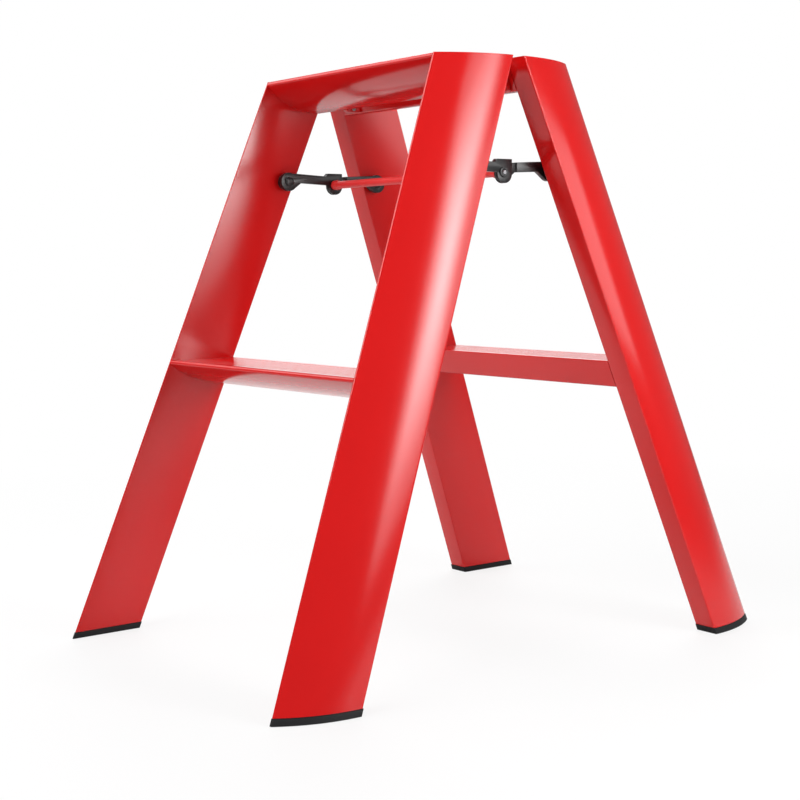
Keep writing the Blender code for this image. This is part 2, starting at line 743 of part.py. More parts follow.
def axis_empty(name, location, pieces, parent=None):
    """Empty on a joint's axis that carries the pieces turning about it."""
    empty = bpy.data.objects.new(name, None)
    STOOL.objects.link(empty)
    if parent:
        empty.parent = parent
        empty.location = Vector(location) - parent.location
    else:
        empty.location = location
    for piece in pieces:
        piece.parent = empty
        piece.matrix_parent_inverse = Matrix.Translation(-Vector(location))
    return empty


def build():
    """Make every piece, then hang the moving ones on the axes they turn about."""
    carried = {"front": [], "rear": []}
    for frame_name, front in FRAMES:
        pieces = carried[frame_name]
        for side_name, side in SIDES:
            where = (side_name, side, frame_name, front)
            pieces.append(make_leg(*where))
            pieces.append(make_leg_cap(*where))
            pieces.append(make_foot(*where))
            pieces.append(make_bracket(*where))
            pieces += make_bracket_screws(*where)
            pieces.append(make_boss(*where))
        platform = make_tread(f"{frame_name}_platform_half", front, HEIGHT, PLATFORM_THICKNESS)
        drill_bracket_holes(platform, front)
        pieces.append(platform)
        step_name = f"{frame_name}_lower_step"
        pieces.append(make_tread(step_name, front, LOWER_STEP_TOP, LOWER_STEP_THICKNESS))
    front_stays = [make_lock_bar()]
    rear_stays = {}
    for side_name, side in SIDES:
        carried["front"].append(make_hinge_pin(side_name, side))
        carried["front"].append(make_rivet(side_name, side, "front", -1))
        front_stays.append(make_front_stay(side_name, side))
        front_stays.append(make_middle_pin(side_name, side))
        front_stays.append(make_pin_washer(side_name, side))
        rivet = make_rivet(side_name, side, "rear", 1)
        rear_stays[side_name] = [make_rear_stay(side_name, side), rivet]
    axis_empty("frame_fold_axis", (0.0, 0.0, HINGE_HEIGHT), carried["rear"])
    stay_axis = axis_empty("front_stay_axis", stay_pivot(-1), front_stays)
    for side_name, pieces in rear_stays.items():
        axis_empty(f"rear_{side_name}_stay_axis", stay_middle(), pieces, stay_axis)


build()
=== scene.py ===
"""Dress the red two-step folding step stool: painted sections, black fittings, studio and camera."""
import json
import math

import bmesh
import bpy
from mathutils import Matrix, Vector


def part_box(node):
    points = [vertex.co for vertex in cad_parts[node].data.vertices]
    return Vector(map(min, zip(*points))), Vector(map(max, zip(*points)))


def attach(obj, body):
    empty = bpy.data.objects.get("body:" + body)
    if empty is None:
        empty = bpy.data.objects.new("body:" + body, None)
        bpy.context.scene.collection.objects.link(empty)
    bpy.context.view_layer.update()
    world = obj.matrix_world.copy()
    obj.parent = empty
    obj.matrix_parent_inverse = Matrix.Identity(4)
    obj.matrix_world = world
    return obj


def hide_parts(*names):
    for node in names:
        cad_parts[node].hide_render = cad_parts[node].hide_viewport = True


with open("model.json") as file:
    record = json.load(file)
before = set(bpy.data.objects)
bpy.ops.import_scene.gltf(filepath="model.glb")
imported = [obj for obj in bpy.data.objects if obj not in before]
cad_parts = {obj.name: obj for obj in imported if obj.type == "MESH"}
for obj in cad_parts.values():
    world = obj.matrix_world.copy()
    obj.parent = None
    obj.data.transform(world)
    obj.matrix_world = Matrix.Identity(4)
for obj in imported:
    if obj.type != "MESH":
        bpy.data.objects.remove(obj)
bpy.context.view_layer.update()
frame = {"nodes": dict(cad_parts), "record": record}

bl_info = {
    "name": "Folding Step Stool",
    "version": (1, 0, 0),
    "blender": (4, 5, 0),
    "location": "View3D > Sidebar > Step Stool",
    "description": "Builds the painted sections, fittings, floor, light and camera of a folding step stool",
    "category": "Object",
}

SIDES = (("left", -1), ("right", 1))
FRAMES = (("front", -1), ("rear", 1))
QUARTERS = tuple(
    (f"{frame_name}_{side_name}", front, side) for frame_name, front in FRAMES for side_name, side in SIDES
)


class StoolSizes(bpy.types.PropertyGroup):
    """Sizes of the stool that its pieces are made from."""

    height: bpy.props.FloatProperty(
        name="Height", description="Floor to the top of the platform", default=0.560, unit="LENGTH"
    )
    half_depth_floor: bpy.props.FloatProperty(
        name="Half depth at the floor",
        description="Middle plane to the thin edges of the legs, at the floor",
        default=0.2925,
        unit="LENGTH",
    )
    half_depth_top: bpy.props.FloatProperty(
        name="Half depth at the top",
        description="Middle plane to the thin edges of the legs, at the platform",
        default=0.080,
        unit="LENGTH",
    )
    half_inside_floor: bpy.props.FloatProperty(
        name="Half width inside at the floor",
        description="Middle plane to the flat inner faces of the legs, at the floor",
        default=0.1845,
        unit="LENGTH",
    )
    half_inside_top: bpy.props.FloatProperty(
        name="Half width inside at the top",
        description="Middle plane to the flat inner faces of the legs, at the platform",
        default=0.1365,
        unit="LENGTH",
    )
    section_depth: bpy.props.FloatProperty(
        name="Section depth", description="Level depth of legs and treads", default=0.074, unit="LENGTH"
    )
    leg_thickness: bpy.props.FloatProperty(
        name="Leg thickness",
        description="Level thickness of a leg at its thick edge",
        default=0.025,
        unit="LENGTH",
    )
    leg_thin_edge: bpy.props.FloatProperty(
        name="Leg thin edge",
        description="Thickness of a leg at its thin edge",
        default=0.0016,
        unit="LENGTH",
    )
    leg_wall: bpy.props.FloatProperty(
        name="Leg wall", description="Wall of the hollow legs", default=0.002, unit="LENGTH"
    )
    outer_rounding: bpy.props.FloatProperty(
        name="Outer rounding",
        description="Rounding between thick edge and bulge",
        default=0.0035,
        unit="LENGTH",
    )
    inner_rounding: bpy.props.FloatProperty(
        name="Inner rounding",
        description="Rounding between thick edge and flat face",
        default=0.0012,
        unit="LENGTH",
    )
    platform_thickness: bpy.props.FloatProperty(
        name="Platform thickness", description="Platform at its thick edges", default=0.0292, unit="LENGTH"
    )
    lower_step_top: bpy.props.FloatProperty(
        name="Lower step height",
        description="Floor to the top of the lower steps",
        default=0.277,
        unit="LENGTH",
    )
    lower_step_thickness: bpy.props.FloatProperty(
        name="Lower step thickness",
        description="Lower step at its thick edge",
        default=0.026,
        unit="LENGTH",
    )
    tread_nose: bpy.props.FloatProperty(
        name="Tread nose", description="Thickness of a tread at its nose", default=0.0035, unit="LENGTH"
    )
    foot_height: bpy.props.FloatProperty(
        name="Foot height", description="Height of the rubber pads", default=0.006, unit="LENGTH"
    )
    seam: bpy.props.FloatProperty(
        name="Seam", description="Gap left between pieces that touch", default=0.0003, unit="LENGTH"
    )
    cap_thickness: bpy.props.FloatProperty(
        name="Leg cap",
        description="Thickness of the plates that close the legs",
        default=0.004,
        unit="LENGTH",
    )
    cap_recess: bpy.props.FloatProperty(
        name="Cap recess",
        description="Depth of the recesses for the leg caps",
        default=0.006,
        unit="LENGTH",
    )
    groove_count: bpy.props.IntProperty(
        name="Grooves", description="Grooves along the top of each tread", default=8, min=2
    )
    groove_width: bpy.props.FloatProperty(
        name="Groove width", description="Width of a tread groove", default=0.0016, unit="LENGTH"
    )
    groove_depth: bpy.props.FloatProperty(
        name="Groove depth", description="Depth of a tread groove", default=0.0006, unit="LENGTH"
    )
    groove_margin: bpy.props.FloatProperty(
        name="Groove margin",
        description="Edge of a tread to its first groove",
        default=0.010,
        unit="LENGTH",
    )
    bracket_base: bpy.props.FloatProperty(
        name="Bracket base",
        description="Thickness of the hinge brackets' base plates",
        default=0.0022,
        unit="LENGTH",
    )
    hinge_height: bpy.props.FloatProperty(
        name="Hinge height",
        description="Floor to the axis of the platform hinges",
        default=0.550,
        unit="LENGTH",
    )
    screw_drops: bpy.props.FloatVectorProperty(
        name="Screw drops",
        description="Drop of each bracket's two screws below the hinge axis",
        default=(0.0125, 0.0005),
        size=2,
        unit="LENGTH",
    )


class StoolColours(bpy.types.PropertyGroup):
    """Colours of the stool's finishes."""

    paint: bpy.props.FloatVectorProperty(
        name="Paint",
        description="Paint on the aluminium sections, brackets and lock bar",
        default=(0.53, 0.006, 0.006),
        size=3,
        min=0.0,
        max=1.0,
        subtype="COLOR",
    )
    enamel: bpy.props.FloatVectorProperty(
        name="Enamel",
        description="Stays, rivets and washers",
        default=(0.005, 0.005, 0.0055),
        size=3,
        min=0.0,
        max=1.0,
        subtype="COLOR",
    )
    plastic: bpy.props.FloatVectorProperty(
        name="Plastic",
        description="Stay bosses",
        default=(0.005, 0.005, 0.0055),
        size=3,
        min=0.0,
        max=1.0,
        subtype="COLOR",
    )
    rubber: bpy.props.FloatVectorProperty(
        name="Rubber",
        description="Feet",
        default=(0.004, 0.004, 0.0045),
        size=3,
        min=0.0,
        max=1.0,
        subtype="COLOR",
    )
    steel: bpy.props.FloatVectorProperty(
        name="Steel",
        description="Hinge pins, middle pins and screws",
        default=(0.24, 0.24, 0.25),
        size=3,
        min=0.0,
        max=1.0,
        subtype="COLOR",
    )


def half_depth(size, z):
    """Distance of the thin edges from the middle plane at one height."""
    return size.half_depth_floor + (size.half_depth_top - size.half_depth_floor) * z / size.height


def half_inside(size, z):
    """Distance of the flat inner faces of the legs from the middle plane at one height."""
    return size.half_inside_floor + (size.half_inside_top - size.half_inside_floor) * z / size.height


class Value:
    """A socket in a material, with the arithmetic that its masks need."""

    def __init__(self, finish, socket):
        self.finish = finish
        self.socket = socket

    def maths(self, operation, first, second):
        return self.finish.node("ShaderNodeMath", {"operation": operation}, {0: first, 1: second})

    def __radd__(self, other):
        return self.maths("ADD", other, self)

    def __mul__(self, other):
        return self.maths("MULTIPLY", self, other)

    def __rmul__(self, other):
        return self.maths("MULTIPLY", other, self)


class Finish:
    """A material under construction, around its Principled shader."""

    def __init__(self, name):
        self.material = bpy.data.materials.new(name)
        self.material.use_nodes = True
        self.nodes = self.material.node_tree.nodes
        self.links = self.material.node_tree.links
        self.surface = self.nodes["Principled BSDF"]

    def put(self, socket, value):
        """Link a value to a socket, or set the socket to a constant."""
        if isinstance(value, Value):
            self.links.new(value.socket, socket)
        else:
            socket.default_value = value

    def node(self, kind, settings=None, inputs=None, output=0):
        """Add a node: its settings first, then the values or links of its sockets."""
        node = self.nodes.new(kind)
        for name, setting in (settings or {}).items():
            setattr(node, name, setting)
        for name, value in (inputs or {}).items():
            self.put(node.inputs[name], value)
        return Value(self, node.outputs[output])

    def set(self, **values):
        """Set sockets of the shader, named with underscores for spaces."""
        for name, value in values.items():
            self.put(self.surface.inputs[name.replace("_", " ").title().replace("Ior", "IOR")], value)

    def place(self):
        """Object coordinates."""
        return self.node("ShaderNodeTexCoord", output=3)

    def noise(self, where, scale, detail):
        """Grey noise."""
        inputs = {"Vector": where, "Scale": scale, "Detail": detail, "Roughness": 0.5}
        return self.node("ShaderNodeTexNoise", inputs=inputs)

    def blend(self, amount, first, second):
        """Mix of two colours."""
        return self.node("ShaderNodeMix", {"data_type": "RGBA"}, {0: amount, 6: first, 7: second}, output=2)

    def bump(self, height, strength, distance):
        """Fine relief on the shader's normal."""
        inputs = {"Height": height, "Strength": strength, "Distance": distance}
        self.put(self.surface.inputs["Normal"], self.node("ShaderNodeBump", inputs=inputs))


def paint_finish(colour):
    """Gloss red paint: a faint orange peel and slight unevenness of colour and gloss."""
    finish = Finish("gloss_paint")
    where = finish.place()
    cloud = finish.noise(where, scale=14.0, detail=3.0)
    peel = finish.noise(where, scale=620.0, detail=2.0)
    deep = tuple(0.93 * c for c in colour)
    finish.set(
        base_color=finish.blend(cloud, (*deep, 1.0), (*colour, 1.0)),
        roughness=0.14 + 0.04 * cloud,
        specular_ior_level=0.42,
    )
    finish.bump(peel, strength=0.06, distance=0.0004)
    return finish.material


def satin_paint_painted_light_finish(colour):
    """The same red in a rougher coat, for the bar that the hand grips, with painted light: patches of a
    lighter red that make the bar look more brightly lit than the legs.
    """
    finish = Finish("satin_paint_painted_light")
    where = finish.place()
    cloud = finish.noise(where, scale=40.0, detail=3.0)
    grain = finish.noise(where, scale=1400.0, detail=2.0)
    # light is painted light: a lighter copy of the red that makes the bar look more brightly lit. The cloud
    # noise blends it in, so the tone also varies at random.
    light = tuple(1.25 * c + 0.02 for c in colour)
    finish.set(base_color=finish.blend(cloud, (*colour, 1.0), (*light, 1.0)), roughness=0.42 + 0.1 * cloud)
    finish.bump(grain, strength=0.1, distance=0.0003)
    return finish.material


def black_metal_finish(colour):
    """Black enamel on pressed steel: fairly glossy, a little worn to grey where it is rubbed."""
    finish = Finish("black_enamel")
    where = finish.place()
    grain = finish.noise(where, scale=900.0, detail=3.0)
    cloud = finish.noise(where, scale=70.0, detail=3.0)
    rubbed = finish.noise(where, scale=240.0, detail=4.0)
    light = tuple(min(1.0, 3.0 * c) for c in colour)
    finish.set(
        base_color=finish.blend(rubbed * cloud, (*colour, 1.0), (*light, 1.0)),
        roughness=0.24 + 0.16 * cloud,
        specular_ior_level=0.4,
    )
    finish.bump(grain, strength=0.1, distance=0.0003)
    return finish.material


def plastic_finish(colour):
    """Satin black moulded plastic with a fine grain."""
    finish = Finish("moulded_plastic")
    where = finish.place()
    grain = finish.noise(where, scale=2600.0, detail=2.0)
    cloud = finish.noise(where, scale=60.0, detail=2.0)
    light = tuple(min(1.0, 1.9 * c) for c in colour)
    finish.set(
        base_color=finish.blend(cloud, (*colour, 1.0), (*light, 1.0)),
        roughness=0.36 + 0.12 * cloud,
        specular_ior_level=0.4,
    )
    finish.bump(grain, strength=0.12, distance=0.0002)
    return finish.material


def rubber_finish(colour):
    """Matte black rubber with a little dust."""
    finish = Finish("foot_rubber")
    where = finish.place()
    grain = finish.noise(where, scale=1500.0, detail=3.0)
    dust = finish.noise(where, scale=90.0, detail=4.0)
    light = tuple(2.2 * c for c in colour)
    finish.set(
        base_color=finish.blend(dust, (*colour, 1.0), (*light, 1.0)),
        roughness=0.5 + 0.2 * dust,
        specular_ior_level=0.25,
    )
    finish.bump(grain, strength=0.25, distance=0.0003)
    return finish.material


def steel_finish(colour):
    """Plain steel, a little stained, with fine marks."""
    finish = Finish("bright_steel")
    where = finish.place()
    marks = finish.noise(where, scale=1800.0, detail=2.0)
    stain = finish.noise(where, scale=220.0, detail=3.0)
    dark = tuple(0.8 * c for c in colour)
    finish.set(
        base_color=finish.blend(stain, (*dark, 1.0), (*colour, 1.0)),
        metallic=1.0,
        roughness=0.34 + 0.16 * stain,
    )
    finish.bump(marks, strength=0.08, distance=0.0002)
    return finish.material


FINISHES = {}
ARC_STEPS = 56
TURN_STEPS = 48
GROOVE_ROUNDING = 0.0002
RIM_ROUNDING = 0.0004
FITTING_ROUNDING = 0.0003
PIN_ROUNDING = 0.00015
FITTING_ANGLE = 40.0
TURNED_ANGLE = 50.0
RIM_ANGLE = 60.0
LEAST_ROUNDINGS = (0.0008, 0.0004, 0.0002)
TIP_ROUNDING_SHARE = 0.4


def finishes():
    """One finish for each slot, made once."""
    if not FINISHES:
        colours = bpy.context.scene.stool_colours
        FINISHES["red_paint"] = paint_finish(tuple(colours.paint))
        FINISHES["black_metal"] = black_metal_finish(tuple(colours.enamel))
        FINISHES["black_plastic"] = plastic_finish(tuple(colours.plastic))
        FINISHES["black_rubber"] = rubber_finish(tuple(colours.rubber))
        FINISHES["plain_steel"] = steel_finish(tuple(colours.steel))
    return FINISHES


def slot_of(node):
    """The record's material slot of a CAD node."""
    for piece in frame["record"]["subparts"]:
        if piece["node"] == node:
            return piece["material_slot"]
    raise RuntimeError("no such node: " + node)


def body_of(node):
    """The body that a CAD node belongs to."""
    for body, nodes in frame["record"]["behaviour"]["bodies"].items():
        if node in nodes:
            return body
    raise RuntimeError("no body holds " + node)


def finish_piece(name, shape, nodes, angle=35.0, finish=None):
    """Turn a bmesh into a shown piece that stands for CAD nodes and takes their body and finish."""
    bmesh.ops.dissolve_degenerate(shape, dist=1e-7, edges=shape.edges[:])
    mesh = bpy.data.meshes.new(name)
    shape.to_mesh(mesh)
    shape.free()
    for face in mesh.polygons:
        face.use_smooth = True
    mesh.set_sharp_from_angle(angle=math.radians(angle))
    piece = bpy.data.objects.new(name, mesh)
    bpy.context.scene.collection.objects.link(piece)
    slot = slot_of(nodes[0])
    mesh.materials.append(finish or finishes()[slot])
    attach(piece, body_of(nodes[0]))
    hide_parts(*nodes)
    return piece


def groove_corners(size):
    """Corners of the grooves in a tread's flat face, from its thin edge inwards."""
    step = (size.section_depth - 2 * size.groove_margin) / (size.groove_count - 1)
    corners = []
    for i in range(size.groove_count):
        left = size.groove_margin + i * step - size.groove_width / 2
        right = left + size.groove_width
        corners += [(left, 0.0), (left, size.groove_depth), (right, size.groove_depth), (right, 0.0)]
    return corners


def walk(shape, start, points):
    """Draw a line of edges from a vertex through flat points, and return its last vertex."""
    last = start
    for x, y in points:
        grown = bmesh.ops.extrude_vert_indiv(shape, verts=[last])
        last = grown["verts"][0]
        last.co = (x, y, start.co.z)
    return last


def section_face(size, thickness, thin, inset=0.0, corners=()):
    """Flat wedge section in X (u, from the thin edge inwards) and Y (w, from flat face to bulge)."""
    rise = thickness - thin
    radius = (size.section_depth**2 + rise**2) / (2 * rise)
    centre = Vector((size.section_depth, thickness - radius, 0.0))
    arc = radius - inset
    edge = thin - inset if inset <= 0 else inset + thin / 2
    reach = math.sqrt(arc**2 - (edge - centre.y) ** 2)
    end = size.section_depth - inset
    shape = bmesh.new()
    first = shape.verts.new((end, centre.y + math.sqrt(arc**2 - inset**2), 0.0))
    swing = math.atan2(reach, edge - centre.y) - math.asin(inset / arc)
    spun = bmesh.ops.spin(
        shape,
        geom=[first],
        cent=centre,
        axis=(0, 0, 1),
        dvec=(0, 0, 0),
        angle=swing,
        steps=ARC_STEPS,
        use_duplicate=False,
    )
    tip = spun["geom_last"][0]
    last = walk(shape, tip, [(tip.co.x, inset), *corners, (end, inset)])
    shape.edges.new((last, first))
    bmesh.ops.contextual_create(shape, geom=shape.edges[:])
    return shape


def long_edges(shape, point, reach=0.0001):
    """Edges of a straight extrusion that start or end at one corner of its section."""
    return [
        edge
        for edge in shape.edges
        if all((v.co.xy - Vector(point)).length < reach for v in edge.verts)
        and abs(edge.verts[0].co.z - edge.verts[1].co.z) > reach
    ]


def bevel(shape, edges, offset, segments=2):
    """Round edges by an offset."""
    bmesh.ops.bevel(
        shape,
        geom=edges,
        offset=offset,
        offset_type="OFFSET",
        segments=segments,
        profile=0.5,
        affect="EDGES",
        material=-1,
        clamp_overlap=True,
    )


def wedge_bar(size, thickness, thin, roundings, inset=0.0, corners=()):
    """Unit-long wedge bar along Z with its long corners rounded: (outer, inner, thin edge)."""
    shape = section_face(size, thickness, thin, inset, corners)
    start = min(v.co.x for v in shape.verts)
    end = max(v.co.x for v in shape.verts)
    high = max(v.co.y for v in shape.verts if abs(v.co.x - end) < 1e-6)
    tip = max(v.co.y for v in shape.verts if abs(v.co.x - start) < 1e-6)
    grown = bmesh.ops.extrude_face_region(shape, geom=shape.faces[:])
    moved = [item for item in grown["geom"] if isinstance(item, bmesh.types.BMVert)]
    bmesh.ops.translate(shape, verts=moved, vec=(0, 0, 1))
    outer, inner, nose = roundings
    rounded = (
        (((end, high),), outer, 8),
        (((end, inset),), inner, 5),
        (((start, inset), (start, tip)), nose, 3),
        (corners, GROOVE_ROUNDING, 2),
    )
    for points, offset, segments in rounded:
        bevel(shape, [edge for point in points for edge in long_edges(shape, point)], offset, segments)
    bmesh.ops.recalc_face_normals(shape, faces=shape.faces[:])
    return shape


def upper_end(shape):
    """Upper end face of a unit bar, and its corners in order from the inner long corner."""
    end = next(face for face in shape.faces if face.normal.z > 0.999)
    ring = [loop.vert for loop in end.loops]
    first = max(range(len(ring)), key=lambda i: ring[i].co.x - ring[i].co.y)
    return end, ring[first:] + ring[:first]


def extrude_end(shape, end):
    """Extrude an end face in place, without the old face, and return the vertices that can be moved."""
    grown = bmesh.ops.extrude_face_region(shape, geom=[end])
    bmesh.ops.delete(shape, geom=[end], context="FACES_ONLY")
    shape.normal_update()
    return [item for item in grown["geom"] if isinstance(item, bmesh.types.BMVert)]


def sink_end(shape, hollow, depth):
    """Sink a hollow, given as a smaller unit bar of the same build, into a unit bar's upper end."""
    extrude_end(shape, upper_end(shape)[0])
    lid, rim = upper_end(shape)
    for corner, goal in zip(rim, upper_end(hollow)[1], strict=True):
        corner.co = goal.co
    hollow.free()
    bmesh.ops.translate(shape, verts=extrude_end(shape, lid), vec=(0, 0, -depth))
    bmesh.ops.recalc_face_normals(shape, faces=shape.faces[:])


def bend_to(shape, rule):
    """Carry every vertex of a unit bar to its place, and keep the faces outwards."""
    for vertex in shape.verts:
        vertex.co = rule(vertex.co)
    bmesh.ops.recalc_face_normals(shape, faces=shape.faces[:])
    if shape.calc_volume(signed=True) < 0:
        bmesh.ops.reverse_faces(shape, faces=shape.faces[:])


def leg_rule(size, side, front, bottom, top):
    """Rule that stands a unit bar up as a leg between two heights."""

    def rule(point):
        z = bottom + (top - bottom) * point.z
        return Vector((side * (half_inside(size, z) + point.y), front * (half_depth(size, z) - point.x), z))

    return rule


def round_rims(shape, offset, heights, segments=2):
    """Soften the sharp edges that lie at the flat ends of a piece."""
    edges = [
        edge
        for edge in shape.edges
        if edge.calc_face_angle(0.0) > math.radians(RIM_ANGLE)
        and any(all(abs(v.co.z - z) < 1e-5 for v in edge.verts) for z in heights)
    ]
    bevel(shape, edges, offset, segments)


def leg_bar(size, inset=0.0):
    """Unit-long bar with the section of a leg, or with one that is smaller or larger by an inset."""
    outer, inner, tip = LEAST_ROUNDINGS
    roundings = (
        max(size.outer_rounding - inset, outer),
        max(size.inner_rounding - inset, inner),
        size.leg_thin_edge * TIP_ROUNDING_SHARE if inset <= 0 else tip,
    )
    return wedge_bar(size, size.leg_thickness, size.leg_thin_edge, roundings, inset)


def tread_rule(size, front, top, gap):
    """Rule that lays a unit bar down as a tread between the legs of one frame."""

    def rule(point):
        z = top - point.y
        x = (2 * point.z - 1) * (half_inside(size, z) - gap)
        return Vector((x, front * (half_depth(size, z) - point.x), z))

    return rule


class STOOL_OT_legs(bpy.types.Operator):
    """Four legs, each with a recess at the top where its cap sits"""

    bl_idname = "stool.legs"
    bl_label = "Legs"

    def execute(self, context):
        size = context.scene.stool_sizes
        bottom = size.foot_height + size.seam
        depth = size.cap_recess / (size.height - bottom)
        for quarter, front, side in QUARTERS:
            name = f"{quarter}_leg"
            shape = leg_bar(size)
            sink_end(shape, leg_bar(size, size.leg_wall), depth)
            bend_to(shape, leg_rule(size, side, front, bottom, size.height))
            round_rims(shape, RIM_ROUNDING, (bottom, size.height))
            finish_piece(f"painted_{name}", shape, [name])
        return {"FINISHED"}


class STOOL_OT_leg_caps(bpy.types.Operator):
    """Four plates set flush into the tops of the legs"""

    bl_idname = "stool.leg_caps"
    bl_label = "Leg caps"

    def execute(self, context):
        size = context.scene.stool_sizes
        bottom = size.height - size.cap_thickness
        for quarter, front, side in QUARTERS:
            name = f"{quarter}_leg_cap"
            shape = leg_bar(size, size.leg_wall + size.seam)
            bend_to(shape, leg_rule(size, side, front, bottom, size.height))
            round_rims(shape, RIM_ROUNDING, (size.height,))
            finish_piece(f"painted_{name}", shape, [name])
        return {"FINISHED"}


class STOOL_OT_feet(bpy.types.Operator):
    """Four rubber feet that follow the section of the legs"""

    bl_idname = "stool.feet"
    bl_label = "Feet"

    overhang: bpy.props.FloatProperty(
        name="Overhang", description="Reach of a pad past its leg", default=0.0006, unit="LENGTH"
    )
    rounding: bpy.props.FloatProperty(
        name="Rounding", description="Rounding under a pad", default=0.0012, unit="LENGTH"
    )

    def execute(self, context):
        size = context.scene.stool_sizes
        for quarter, front, side in QUARTERS:
            name = f"{quarter}_foot"
            shape = leg_bar(size, -self.overhang)
            bend_to(shape, leg_rule(size, side, front, 0.0, size.foot_height))
            round_rims(shape, self.rounding, (0.0,), 3)
            round_rims(shape, RIM_ROUNDING, (size.foot_height,))
            finish_piece(f"rubber_{name}", shape, [name])
        return {"FINISHED"}


class STOOL_OT_treads(bpy.types.Operator):
    """The two platform halves and the two lower steps, grooved along their tops"""

    bl_idname = "stool.treads"
    bl_label = "Treads"

    end_gap: bpy.props.FloatProperty(
        name="End gap", description="Gap between a tread's end and its leg", default=0.00005, unit="LENGTH"
    )
    nose_share: bpy.props.FloatProperty(
        name="Nose rounding", description="Rounding of a nose as a share of its thickness", default=0.35
    )

    def execute(self, context):
        size = context.scene.stool_sizes
        rows = (
            ("platform_half", size.height, size.platform_thickness),
            ("lower_step", size.lower_step_top, size.lower_step_thickness),
        )
        roundings = (size.outer_rounding, size.inner_rounding, size.tread_nose * self.nose_share)
        for frame_name, front in FRAMES:
            for kind, top, thickness in rows:
                node = f"{frame_name}_{kind}"
                shape = wedge_bar(size, thickness, size.tread_nose, roundings, corners=groove_corners(size))
                bend_to(shape, tread_rule(size, front, top, self.end_gap))
                finish_piece(f"painted_{node}", shape, [node])
        return {"FINISHED"}


def cad_copy(node):
    """A CAD node's shape, its loose triangles merged into whole faces."""
    shape = bmesh.new()
    shape.from_mesh(frame["nodes"][node].data)
    bmesh.ops.remove_doubles(shape, verts=shape.verts[:], dist=1e-6)
    bmesh.ops.dissolve_limit(
        shape,
        angle_limit=math.radians(0.5),
        use_dissolve_boundaries=False,
        verts=shape.verts[:],
        edges=shape.edges[:],
    )
    bmesh.ops.recalc_face_normals(shape, faces=shape.faces[:])
    return shape


def soften_node(name, node):
    """Show a CAD node's shape with its sharp outer edges rounded."""
    shape = cad_copy(node)
    sharp = [
        edge
        for edge in shape.edges
        if edge.is_manifold and edge.is_convex and edge.calc_face_angle(0.0) > math.radians(FITTING_ANGLE)
    ]
    bevel(shape, sharp, FITTING_ROUNDING, 2)
    finish_piece(name, shape, [node], angle=FITTING_ANGLE)


def turned_piece(name, node, profile, origin, along, rounding=0.0, finish=None):
    """Turn a profile of (radius, height) points about an axis and round the edges it leaves."""
    shape = bmesh.new()
    start = shape.verts.new((profile[0][0], profile[0][1], 0.0))
    walk(shape, start, profile[1:])
    bmesh.ops.spin(
        shape,
        geom=shape.verts[:] + shape.edges[:],
        cent=(0, 0, 0),
        axis=(0, 1, 0),
        dvec=(0, 0, 0),
        angle=math.tau,
        steps=TURN_STEPS,
        use_merge=True,
        use_duplicate=False,
    )
    bmesh.ops.remove_doubles(shape, verts=shape.verts[:], dist=1e-6)
    bmesh.ops.recalc_face_normals(shape, faces=shape.faces[:])
    if rounding:
        sharp = [edge for edge in shape.edges if edge.calc_face_angle(0.0) > math.radians(TURNED_ANGLE)]
        bevel(shape, sharp, rounding, 2)
    turn = Vector(along).to_track_quat("Y", "Z").to_matrix().to_4x4()
    shape.transform(Matrix.Translation(origin) @ turn)
    bmesh.ops.recalc_face_normals(shape, faces=shape.faces[:])
    finish_piece(name, shape, [node], finish=finish)


def dome(radius, height, base=0.0, steps=8):
    """Profile points of a low round head, from its top to its rim."""
    quarter = [math.pi / 2 * i / steps for i in range(steps + 1)]
    return [(radius * math.sin(a), base + height * math.cos(a)) for a in quarter]


def mirrored(upper):
    """Profile of a turned piece whose lower half mirrors its upper half."""
    return upper + [(radius, -height) for radius, height in reversed(upper)]


def node_reach(node):
    """Centre of a CAD node in Y and Z, its ends in X and its largest radius about that line."""
    low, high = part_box(node)
    centre = (0.0, (low[1] + high[1]) / 2, (low[2] + high[2]) / 2)
    return centre, low[0], high[0], (high[1] - low[1]) / 2


class STOOL_OT_brackets(bpy.types.Operator):
    """Hinge brackets under the platform, their edges softened by the paint"""

    bl_idname = "stool.brackets"
    bl_label = "Hinge brackets"

    def execute(self, context):
        for quarter, front, side in QUARTERS:
            node = f"{quarter}_hinge_bracket"
            soften_node(f"painted_{node}", node)
        return {"FINISHED"}


class STOOL_OT_hinge_pins(bpy.types.Operator):
    """Pins through the platform hinges, headed at both ends"""

    bl_idname = "stool.hinge_pins"
    bl_label = "Hinge pins"

    shank: bpy.props.FloatProperty(
        name="Shank", description="Radius of the shank", default=0.0025, unit="LENGTH"
    )
    head: bpy.props.FloatProperty(
        name="Head", description="Thickness of a head", default=0.0018, unit="LENGTH"
    )
    crown: bpy.props.FloatProperty(
        name="Crown", description="Height of a head's dome", default=0.00081, unit="LENGTH"
    )

    def execute(self, context):
        for side_name, side in SIDES:
            node = f"{side_name}_hinge_pin"
            centre, low, high, radius = node_reach(node)
            half = (high - low) / 2
            upper = dome(radius, self.crown, half - self.crown)
            upper += [(radius, half - self.head), (self.shank, half - self.head)]
            origin = ((low + high) / 2, *centre[1:])
            turned_piece(f"steel_{node}", node, mirrored(upper), origin, (side, 0, 0), PIN_ROUNDING)
        return {"FINISHED"}


